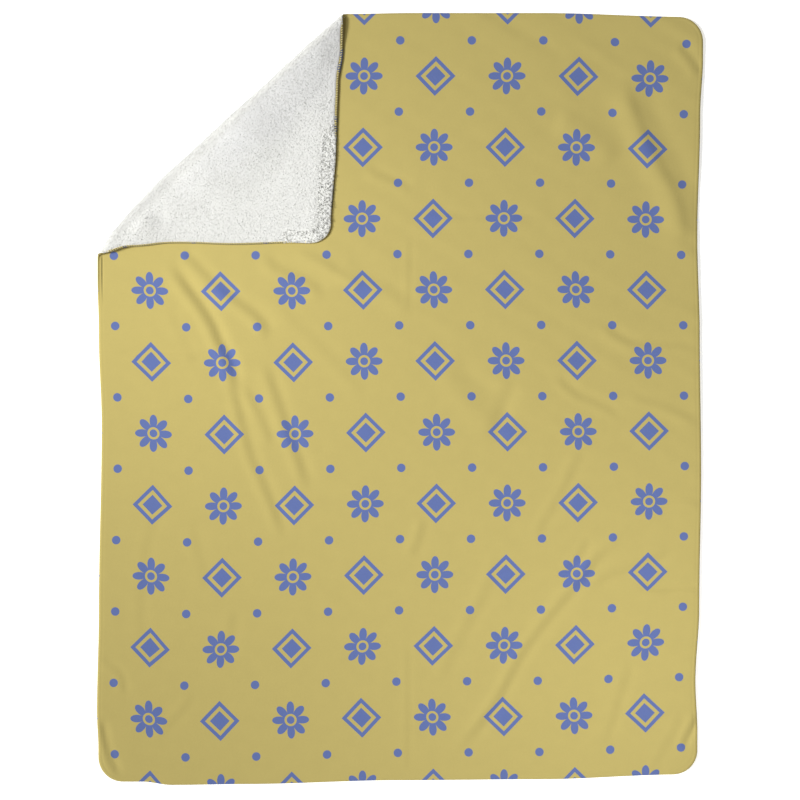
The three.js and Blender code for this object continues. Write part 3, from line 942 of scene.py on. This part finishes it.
def curly_pile(settings):
    """Polyester sherpa, knitted with a long pile and tumbled until it curls: off-white and wholly matt, with
    soft light inside the pile, and painted shade in the dips between its tufts, on the roll and towards the
    tip."""
    material, tree = new_material("polyester sherpa pile")
    place = add_node(tree, "ShaderNodeTexCoord").outputs["Object"]
    locks = add_node(
        tree, "ShaderNodeTexNoise", {"Vector": place, "Scale": 1 / (LOCK_WIDTH * MM), "Detail": 3}
    ).outputs["Fac"]
    patches = add_node(
        tree, "ShaderNodeTexNoise", {"Vector": place, "Scale": 1 / (PILE_PATCH * MM), "Detail": 2}
    ).outputs["Fac"]
    # The locks' noise also darkens the dips of their bump: painted shade.
    tone = add_node(
        tree, "ShaderNodeMath", {0: locks, 1: LOCK_DIP_SHADE, 2: LEAST_TONE}, operation="MULTIPLY_ADD"
    ).outputs[0]
    tone = add_node(
        tree, "ShaderNodeMath", {0: patches, 1: PATCH_TONE, 2: tone}, operation="MULTIPLY_ADD"
    ).outputs[0]
    # Painted shade: the pile is greyer on the roll, greyer towards the roll's lower end and greyer towards
    # the tip.
    from_fold = add_node(
        tree, "ShaderNodeVectorMath", {0: place, 1: (*(FOLD_START * MM), 0)}, operation="SUBTRACT"
    ).outputs[0]
    for way, ramp in ((OUTWARD, ROLL_SHADE), (ALONG, SHADE_ALONG), (OUTWARD, SHADE_ACROSS)):
        start, end, first, last = ramp
        reach = add_node(
            tree, "ShaderNodeVectorMath", {0: from_fold, 1: (*way, 0)}, operation="DOT_PRODUCT"
        ).outputs["Value"]
        share = add_node(
            tree, "ShaderNodeMapRange", {0: reach, 1: start * MM, 2: end * MM, 3: first, 4: last}
        ).outputs[0]
        tone = add_node(tree, "ShaderNodeMath", {0: tone, 1: share}, operation="MULTIPLY").outputs[0]
    # By the turned tip, along the edge that lies to the right, dark flecks are painted shadow for the dips
    # between the tufts.
    flecks = add_node(
        tree, "ShaderNodeTexNoise", {"Vector": place, "Scale": 1 / (FLECK_WIDTH * MM), "Detail": 1}
    ).outputs["Fac"]
    flecks = add_node(
        tree, "ShaderNodeMapRange", {0: flecks, 1: FLECK_NOISE[0], 2: FLECK_NOISE[1], 3: 0, 4: FLECK_SHADE}
    ).outputs[0]
    axes = add_node(tree, "ShaderNodeSeparateXYZ", {0: place}).outputs
    edge = add_node(
        tree, "ShaderNodeMath", {0: axes["Y"], 1: FLECK_SLANT, 2: axes["X"]}, operation="MULTIPLY_ADD"
    ).outputs[0]
    for reach, (start, end) in ((edge, FLECKS_ACROSS), (axes["Y"], FLECKS_ALONG)):
        share = add_node(tree, "ShaderNodeMapRange", {0: reach, 1: start * MM, 2: end * MM}).outputs[0]
        flecks = add_node(tree, "ShaderNodeMath", {0: flecks, 1: share}, operation="MULTIPLY").outputs[0]
    flecks = add_node(tree, "ShaderNodeMath", {0: 1.0, 1: flecks}, operation="SUBTRACT").outputs[0]
    tone = add_node(tree, "ShaderNodeMath", {0: tone, 1: flecks}, operation="MULTIPLY").outputs[0]
    colour = add_node(
        tree, "ShaderNodeVectorMath", {0: settings.cloth.pile, 3: tone}, operation="SCALE"
    ).outputs[0]
    bump = add_node(tree, "ShaderNodeBump", {"Height": locks, "Strength": 0.3, "Distance": 1 * MM}).outputs[0]
    shader = add_node(
        tree,
        "ShaderNodeBsdfPrincipled",
        {
            "Base Color": colour,
            "Roughness": 0.95,
            "Specular IOR Level": 0.1,
            "Subsurface Weight": 0.6,
            "Subsurface Radius": (1, 1, 1),
            "Subsurface Scale": 5 * MM,
            "Normal": bump,
        },
    ).outputs[0]
    add_node(tree, "ShaderNodeOutputMaterial", {"Surface": shader})
    return material


def sewing_thread(settings):
    """Twisted polyester sewing thread: a little glossier than the cloth, with a fine grain from its twist."""
    material, tree = new_material("polyester sewing thread")
    place = add_node(tree, "ShaderNodeTexCoord").outputs["Object"]
    # The twist, about 0.3 mm from ply to ply, is drawn at 1 mm, so that it shows.
    twist = add_node(
        tree, "ShaderNodeTexNoise", {"Vector": place, "Scale": 1 / (1 * MM), "Detail": 1}
    ).outputs["Fac"]
    tone = add_node(tree, "ShaderNodeMath", {0: twist, 1: 0.3, 2: 0.85}, operation="MULTIPLY_ADD").outputs[0]
    colour = add_node(
        tree, "ShaderNodeVectorMath", {0: settings.stitch.colour, 3: tone}, operation="SCALE"
    ).outputs[0]
    shader = add_node(tree, "ShaderNodeBsdfPrincipled", {"Base Color": colour, "Roughness": 0.6}).outputs[0]
    add_node(tree, "ShaderNodeOutputMaterial", {"Surface": shader})
    return material


def pale_floor(settings):
    """Matt painted board, lit from below further out as a studio floor is: pale and even, with a faint
    roller grain."""
    material, tree = new_material("matt pale board")
    place = add_node(tree, "ShaderNodeTexCoord").outputs["Object"]
    away = add_node(tree, "ShaderNodeVectorMath", {0: place}, operation="LENGTH").outputs["Value"]
    glow = add_node(tree, "ShaderNodeMapRange", {0: away, **dict(enumerate(FLOOR_GLOW, 1))}).outputs[0]
    grain = add_node(
        tree, "ShaderNodeTexNoise", {"Vector": place, "Scale": 1 / (20 * MM), "Detail": 2}
    ).outputs["Fac"]
    bump = add_node(
        tree, "ShaderNodeBump", {"Height": grain, "Strength": 0.02, "Distance": 1 * MM}
    ).outputs[0]
    shader = add_node(
        tree,
        "ShaderNodeBsdfPrincipled",
        {
            "Base Color": (*settings.stage.floor, 1),
            "Roughness": 0.9,
            "Specular IOR Level": 0.1,
            "Emission Color": (1, 1, 1, 1),
            "Emission Strength": glow,
            "Normal": bump,
        },
    ).outputs[0]
    add_node(tree, "ShaderNodeOutputMaterial", {"Surface": shader})
    return material


# Geometry Nodes


def new_tree(name, sizes):
    """A Geometry Nodes tree with a geometry in and out, a seed, a material, and named sizes."""
    tree = bpy.data.node_groups.new(name, "GeometryNodeTree")
    tree.interface.new_socket("Geometry", in_out="INPUT", socket_type="NodeSocketGeometry")
    for size in sizes:
        tree.interface.new_socket(size, in_out="INPUT", socket_type="NodeSocketFloat")
    tree.interface.new_socket("Seed", in_out="INPUT", socket_type="NodeSocketInt")
    tree.interface.new_socket("Material", in_out="INPUT", socket_type="NodeSocketMaterial")
    tree.interface.new_socket("Geometry", in_out="OUTPUT", socket_type="NodeSocketGeometry")
    return tree, add_node(tree, "NodeGroupInput").outputs


def finish_tree(tree, geometry, material):
    """Ends a tree: instances made real, shaded smooth, with their material."""
    real = add_node(tree, "GeometryNodeRealizeInstances", {0: geometry}).outputs[0]
    smooth = add_node(tree, "GeometryNodeSetShadeSmooth", {0: real}).outputs[0]
    done = add_node(tree, "GeometryNodeSetMaterial", {"Geometry": smooth, "Material": material}).outputs[0]
    add_node(tree, "NodeGroupOutput", {0: done})


def curl_tree():
    """Curled locks scattered over a ground, each leaning its own way."""
    sizes = ["Spacing", "Curl radius", "Yarn radius", "Lift", "Lean", "Sunk", "Lowest"]
    tree, given = new_tree("Curled pile", sizes)
    place = add_node(tree, "GeometryNodeInputPosition").outputs[0]
    level = add_node(tree, "ShaderNodeSeparateXYZ", {0: place}).outputs["Z"]
    clear = add_node(
        tree, "FunctionNodeCompare", {0: level, 1: given["Lowest"]}, operation="GREATER_THAN"
    ).outputs[0]
    square = add_node(tree, "ShaderNodeMath", {0: given["Spacing"], 1: -2.0}, operation="POWER").outputs[0]
    density = add_node(tree, "ShaderNodeMath", {0: square, 1: CURL_TRIES}, operation="MULTIPLY").outputs[0]
    points = add_node(
        tree,
        "GeometryNodeDistributePointsOnFaces",
        {
            "Mesh": given["Geometry"],
            "Selection": clear,
            "Distance Min": given["Spacing"],
            "Density Max": density,
            "Seed": given["Seed"],
        },
        distribute_method="POISSON",
    ).outputs
    least = add_node(tree, "ShaderNodeMath", {0: given["Lean"], 1: -1.0}, operation="MULTIPLY").outputs[0]
    least = add_node(tree, "ShaderNodeCombineXYZ", {0: least, 1: least}).outputs[0]
    most = add_node(
        tree, "ShaderNodeCombineXYZ", {0: given["Lean"], 1: given["Lean"], 2: math.tau}
    ).outputs[0]
    lean = add_node(
        tree, "FunctionNodeRandomValue", {0: least, 1: most, "Seed": given["Seed"]}, data_type="FLOAT_VECTOR"
    ).outputs[0]
    lean = add_node(tree, "FunctionNodeEulerToRotation", {0: lean}).outputs[0]
    turned = add_node(
        tree, "FunctionNodeRotateRotation", {0: points["Rotation"], 1: lean}, rotation_space="LOCAL"
    ).outputs[0]
    scale = add_node(
        tree,
        "FunctionNodeRandomValue",
        {2: CURL_SCALE[0], 3: CURL_SCALE[1], "Seed": given["Seed"]},
        data_type="FLOAT",
    ).outputs[1]
    inner = add_node(
        tree, "ShaderNodeMath", {0: given["Curl radius"], 1: CURL_INNER}, operation="MULTIPLY"
    ).outputs[0]
    rise = add_node(
        tree, "ShaderNodeMath", {0: given["Curl radius"], 1: given["Lift"]}, operation="MULTIPLY"
    ).outputs[0]
    spiral = add_node(
        tree,
        "GeometryNodeCurveSpiral",
        {
            "Resolution": 7,
            "Rotations": CURL_TURNS,
            "Start Radius": given["Curl radius"],
            "End Radius": inner,
            "Height": rise,
        },
    ).outputs[0]
    section = add_node(
        tree, "GeometryNodeCurvePrimitiveCircle", {"Resolution": 3, "Radius": given["Yarn radius"]}
    ).outputs[0]
    lock = add_node(
        tree, "GeometryNodeCurveToMesh", {"Curve": spiral, "Profile Curve": section, "Fill Caps": True}
    ).outputs[0]
    depth = add_node(tree, "ShaderNodeMath", {0: given["Sunk"], 1: -1.0}, operation="MULTIPLY").outputs[0]
    depth = add_node(tree, "ShaderNodeCombineXYZ", {2: depth}).outputs[0]
    lock = add_node(tree, "GeometryNodeTransform", {"Geometry": lock, "Translation": depth}).outputs[0]
    locks = add_node(
        tree,
        "GeometryNodeInstanceOnPoints",
        {"Points": points["Points"], "Instance": lock, "Rotation": turned, "Scale": scale},
    ).outputs[0]
    finish_tree(tree, locks, given["Material"])
    return tree


def stitch_tree():
    """Stitches along a closed line of edges. A slant of 0 lies along the line, a quarter turn across it."""
    tree, given = new_tree("Edge stitches", ["Pitch", "Thread radius", "Length", "Slant"])
    line = add_node(tree, "GeometryNodeMeshToCurve", {0: given["Geometry"]}).outputs[0]
    line = add_node(tree, "GeometryNodeSetCurveNormal", {"Curve": line}, mode="Z_UP").outputs[0]
    points = add_node(
        tree, "GeometryNodeCurveToPoints", {"Curve": line, "Length": given["Pitch"]}, mode="LENGTH"
    ).outputs
    half = add_node(tree, "ShaderNodeMath", {0: given["Length"], 1: 0.5}, operation="MULTIPLY").outputs[0]
    size = add_node(
        tree, "ShaderNodeCombineXYZ", {0: given["Thread radius"], 1: given["Thread radius"], 2: half}
    ).outputs[0]
    bead = add_node(tree, "GeometryNodeMeshIcoSphere", {"Radius": 1.0, "Subdivisions": 1}).outputs[0]
    tilt = add_node(
        tree,
        "FunctionNodeRandomValue",
        {0: (-STITCH_TILT, -STITCH_TILT, 0), 1: (STITCH_TILT, STITCH_TILT, math.tau), "Seed": given["Seed"]},
        data_type="FLOAT_VECTOR",
    ).outputs[0]
    tilt = add_node(tree, "FunctionNodeEulerToRotation", {0: tilt}).outputs[0]
    slant = add_node(tree, "ShaderNodeCombineXYZ", {1: given["Slant"]}).outputs[0]
    slant = add_node(tree, "FunctionNodeEulerToRotation", {0: slant}).outputs[0]
    turned = add_node(
        tree, "FunctionNodeRotateRotation", {0: points["Rotation"], 1: slant}, rotation_space="LOCAL"
    ).outputs[0]
    turned = add_node(
        tree, "FunctionNodeRotateRotation", {0: turned, 1: tilt}, rotation_space="LOCAL"
    ).outputs[0]
    stitches = add_node(
        tree,
        "GeometryNodeInstanceOnPoints",
        {"Points": points["Points"], "Instance": bead, "Rotation": turned, "Scale": size},
    ).outputs[0]
    finish_tree(tree, stitches, given["Material"])
    return tree


def grown_piece(name, carrier, tree, values):
    """A plain mesh of what a tree grows on a carrier mesh, riding on the body."""
    piece = bpy.data.objects.new(name, carrier)
    bpy.context.collection.objects.link(piece)
    modifier = piece.modifiers.new(tree.name, "NODES")
    modifier.node_group = tree
    for key, value in values.items():
        modifier[tree.interface.items_tree[key].identifier] = value
    graph = bpy.context.evaluated_depsgraph_get()
    grown = bpy.data.meshes.new_from_object(piece.evaluated_get(graph))
    piece.modifiers.clear()
    piece.data = grown
    if not grown.polygons:
        raise RuntimeError(f"{name}: nothing grew on {carrier.name}")
    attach(piece, BODY)
    return piece


class FLEECE_BLANKET_OT_face(bpy.types.Operator):
    """Adds the printed plush face, with its rolled edge"""

    bl_idname = "fleece_blanket.add_face"
    bl_label = "Add Printed Face"

    def execute(self, context):
        settings = context.scene.fleece_blanket
        points, faces, flat = panel_mesh(
            lambda x, y: cloth_points(x, y, np.full(x.shape, FACE_TOP)),
            lambda x, y: cloth_points(x, y, np.full(x.shape, FACE_UNDER)),
            FACE_RIM,
            hem_pull,
            settings.cloth.face_step / MM,
        )
        face = mesh_piece("plush_face", points, faces, flat, printed_plush(settings))
        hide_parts("face_panel")
        return {"FINISHED"}


def back_under(x, y):
    """The back's outer side: dimpled where it lies on the surface, thinner on the turned corner."""
    turned = turned_over(x, y)
    points = cloth_points(x, y, BACK_UNDER + TURNED_THINNER * turned)
    dimples = DIMPLE_DEPTH * (1 - tufts(x, y, DIMPLE_WIDTH, DIMPLE_SEED))
    points[..., 2] = np.where(turned <= 0, dimples, points[..., 2])
    return points


class FLEECE_BLANKET_OT_back(bpy.types.Operator):
    """Adds the curly-pile back panel"""

    bl_idname = "fleece_blanket.add_back"
    bl_label = "Add Pile Back"

    def execute(self, context):
        settings = context.scene.fleece_blanket
        points, faces, flat = panel_mesh(
            lambda x, y: cloth_points(x, y, np.full(x.shape, BACK_TOP)),
            back_under,
            BACK_RIM,
            turned_over,
            settings.cloth.back_step / MM,
        )
        back = mesh_piece("pile_back", points, faces, flat, curly_pile(settings))
        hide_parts("back_panel")
        return {"FINISHED"}


class FLEECE_BLANKET_OT_flap_pile(bpy.types.Operator):
    """Adds the tufts and curls of the turned corner, which show the pile side"""

    bl_idname = "fleece_blanket.add_flap_pile"
    bl_label = "Add Turned Corner Pile"

    def execute(self, context):
        settings = context.scene.fleece_blanket
        pile = settings.pile
        x, y = cut_grid(PILE_INSET, pile.step / MM)
        turn = fold_place(x, y)[3]
        kept = turn > PILE_FROM
        quads = grid_quads(x.shape)
        quads = quads[kept.ravel()[quads].all(axis=1)]
        used, quads = np.unique(quads, return_inverse=True)
        quads = quads.reshape(-1, 4)[:, ::-1]
        x, y, turn = x.ravel()[used], y.ravel()[used], turn.ravel()[used]
        inside = depth_inside(x, y)
        tip = ease((TIP_SIDE[0] - x) / (TIP_SIDE[0] - TIP_SIDE[1]))
        low = ease((TIP_CORNER[0] - y) / (TIP_CORNER[0] - TIP_CORNER[1]))
        bare = LIP_BARE * (1 - tip) + (LIP_TIP + (LIP_LOW - LIP_TIP) * low) * tip
        start = LIP_TIP + (bare - LIP_TIP) * ease((turn - LIP_FROM) / LIP_OPENING)
        rise = ease((inside - start) / PILE_RISE) * ease((turn - PILE_FROM) / PILE_ROLL)
        full = ease((inside - start) / PILE_SWELL)
        coarse = tufts(x, y, pile.tuft / MM, pile.seed)
        fine = tufts(x, y, FINE_WIDTH * pile.tuft / MM, pile.seed + 1)
        tuft = (1 - FINE_SHARE) * coarse + FINE_SHARE * fine
        ruffled = tip * (1 - low) * ease((RUFFLE_WIDTH - inside) / RUFFLE_FADE)
        relief = pile.relief / MM * (1 + (pile.tip_relief - 1) * ruffled)
        hidden = -HIDDEN_EDGE - HIDDEN_SLOPE * np.minimum(inside, HIDDEN_WIDTH)
        crown = full * (PILE_CROWN - TIP_LOSS * ruffled)
        height = hidden + rise * (-PILE_EDGE - crown - relief * (tuft - 0.5) - hidden)
        points = cloth_points(x, y, height)
        points[:, 2] = np.maximum(points[:, 2], 0)
        material = bpy.data.materials["polyester sherpa pile"]
        mesh_piece("pile_tufts", points, quads, np.stack([x, y], -1), material)
        tree = curl_tree()
        ruffled = ruffled[quads].mean(axis=1)
        grown = ((rise > CURL_RISE) & (inside > CURL_INSET))[quads].all(axis=1)
        zones = {True: ruffled > RUFFLED_ABOVE, False: ruffled < SMOOTH_BELOW}
        for k, (name, for_ruffled, spacing, radius, yarn, lift, lean, sunk) in enumerate(CURLS):
            carrier = bpy.data.meshes.new(name + "_ground")
            carrier.from_pydata((points * MM).tolist(), [], quads[grown & zones[for_ruffled]].tolist())
            values = {
                "Spacing": pile.curl_spacing * spacing,
                "Curl radius": pile.curl_radius * radius,
                "Yarn radius": pile.yarn_radius * yarn,
                "Lift": lift,
                "Lean": lean,
                "Sunk": pile.yarn_radius * sunk,
                "Lowest": CURL_LOWEST * pile.curl_radius,
                "Seed": pile.seed + k,
                "Material": material,
            }
            grown_piece(name, carrier, tree, values)
        return {"FINISHED"}


class FLEECE_BLANKET_OT_stitches(bpy.types.Operator):
    """Adds the stitching round the edge, on the face and on the lip"""

    bl_idname = "fleece_blanket.add_stitches"
    bl_label = "Add Edge Stitches"

    def execute(self, context):
        settings = context.scene.fleece_blanket
        stitch = settings.stitch
        material = sewing_thread(settings)
        tree = stitch_tree()
        grid_x, grid_y = cut_grid(GRID_INSET, SEAM_STEP)
        loop = grid_loop(grid_x.shape)
        whip = (stitch.whip_pitch, stitch.whip_thread, stitch.whip_length, stitch.whip_slant)
        rows = (
            ("face_stitches", *FACE_SEAM, stitch.pitch, stitch.thread, STITCH_SHARE * stitch.pitch, 0.0),
            ("lip_stitches", *LIP_SEAM, *whip),
        )
        for name, inset, height, pitch, thread, length, slant in rows:
            x, y = rim_row(grid_x.ravel()[loop], grid_y.ravel()[loop], inset)
            line = cloth_points(x, y, np.full(x.shape, height)) * MM
            count = len(line)
            carrier = bpy.data.meshes.new(name + "_line")
            carrier.from_pydata(line.tolist(), [(i, (i + 1) % count) for i in range(count)], [])
            values = {
                "Pitch": pitch,
                "Thread radius": thread,
                "Length": length,
                "Slant": slant,
                "Seed": STITCH_SEED,
                "Material": material,
            }
            grown_piece(name, carrier, tree, values)
        return {"FINISHED"}


class FLEECE_BLANKET_OT_stage(bpy.types.Operator):
    """Adds the floor, the soft lights and the camera above the blanket"""

    bl_idname = "fleece_blanket.add_stage"
    bl_label = "Add Stage"

    def execute(self, context):
        settings = context.scene.fleece_blanket
        stage = settings.stage
        scene = context.scene
        mesh = bpy.data.meshes.new("floor")
        sides = ((-1, -1), (1, -1), (1, 1), (-1, 1))
        corners = [(FLOOR_HALF * x, FLOOR_HALF * y, FLOOR_HEIGHT) for x, y in sides]
        mesh.from_pydata(corners, [], [(0, 1, 2, 3)])
        mesh.materials.append(pale_floor(settings))
        floor = bpy.data.objects.new("floor", mesh)
        scene.collection.objects.link(floor)
        broad = {"angle": math.radians(14)}
        disk = {"shape": "DISK", "size": 0.4}
        lamps = (
            ("window", "SUN", (-3.05, -0.21, 2.57), {"energy": stage.window_power, **broad}),
            ("softbox", "AREA", (-0.61, 0.35, 0.84), {"energy": stage.softbox_power, **disk}),
            ("reflector", "AREA", (0.59, -0.7, 0.77), {"energy": stage.reflector_power, **disk}),
        )
        for name, kind, place, values in lamps:
            data = bpy.data.lights.new(name, kind)
            for key, value in values.items():
                setattr(data, key, value)
            lamp = bpy.data.objects.new(name, data)
            lamp.location = place
            lamp.rotation_euler = (-lamp.location).to_track_quat("-Z", "Y").to_euler()
            lamp.visible_camera = False
            scene.collection.objects.link(lamp)
        world = bpy.data.worlds.new("soft room")
        world.use_nodes = True
        world.node_tree.nodes.clear()
        sky = add_node(
            world.node_tree, "ShaderNodeBackground", {"Color": (1, 1, 1, 1), "Strength": stage.ambient}
        )
        add_node(world.node_tree, "ShaderNodeOutputWorld", {"Surface": sky.outputs[0]})
        scene.world = world
        data = bpy.data.cameras.new("camera")
        data.sensor_width = SENSOR_WIDTH
        data.lens = data.sensor_width * stage.camera_height / stage.frame_width
        camera = bpy.data.objects.new("camera", data)
        camera.location = (0, VIEW_MIDDLE, stage.camera_height)
        scene.collection.objects.link(camera)
        scene.camera = camera
        scene.view_settings.view_transform = "Standard"
        return {"FINISHED"}


class FLEECE_BLANKET_PT_panel(bpy.types.Panel):
    """Lists the blanket's settings and steps"""

    bl_idname = "FLEECE_BLANKET_PT_panel"
    bl_label = "Fleece Blanket"
    bl_space_type = "VIEW_3D"
    bl_region_type = "UI"
    bl_category = "Blanket"

    def draw(self, context):
        settings = context.scene.fleece_blanket
        for group in (settings.cloth, settings.printed, settings.pile, settings.stitch, settings.stage):
            box = self.layout.box()
            for key in type(group).__annotations__:
                box.prop(group, key)
        for operator in OPERATORS:
            self.layout.operator(operator.bl_idname)


OPERATORS = (
    FLEECE_BLANKET_OT_stage,
    FLEECE_BLANKET_OT_face,
    FLEECE_BLANKET_OT_back,
    FLEECE_BLANKET_OT_flap_pile,
    FLEECE_BLANKET_OT_stitches,
)
CLASSES = (
    ClothSettings,
    PrintSettings,
    PileSettings,
    StitchSettings,
    StageSettings,
    BlanketSettings,
    *OPERATORS,
    FLEECE_BLANKET_PT_panel,
)


def register():
    for cls in CLASSES:
        bpy.utils.register_class(cls)
    bpy.types.Scene.fleece_blanket = PointerProperty(type=BlanketSettings)


def unregister():
    del bpy.types.Scene.fleece_blanket
    for cls in reversed(CLASSES):
        bpy.utils.unregister_class(cls)


def main():
    register()
    bpy.ops.fleece_blanket.add_stage()
    bpy.ops.fleece_blanket.add_face()
    bpy.ops.fleece_blanket.add_back()
    bpy.ops.fleece_blanket.add_flap_pile()
    bpy.ops.fleece_blanket.add_stitches()


if __name__ == "__main__":
    main()
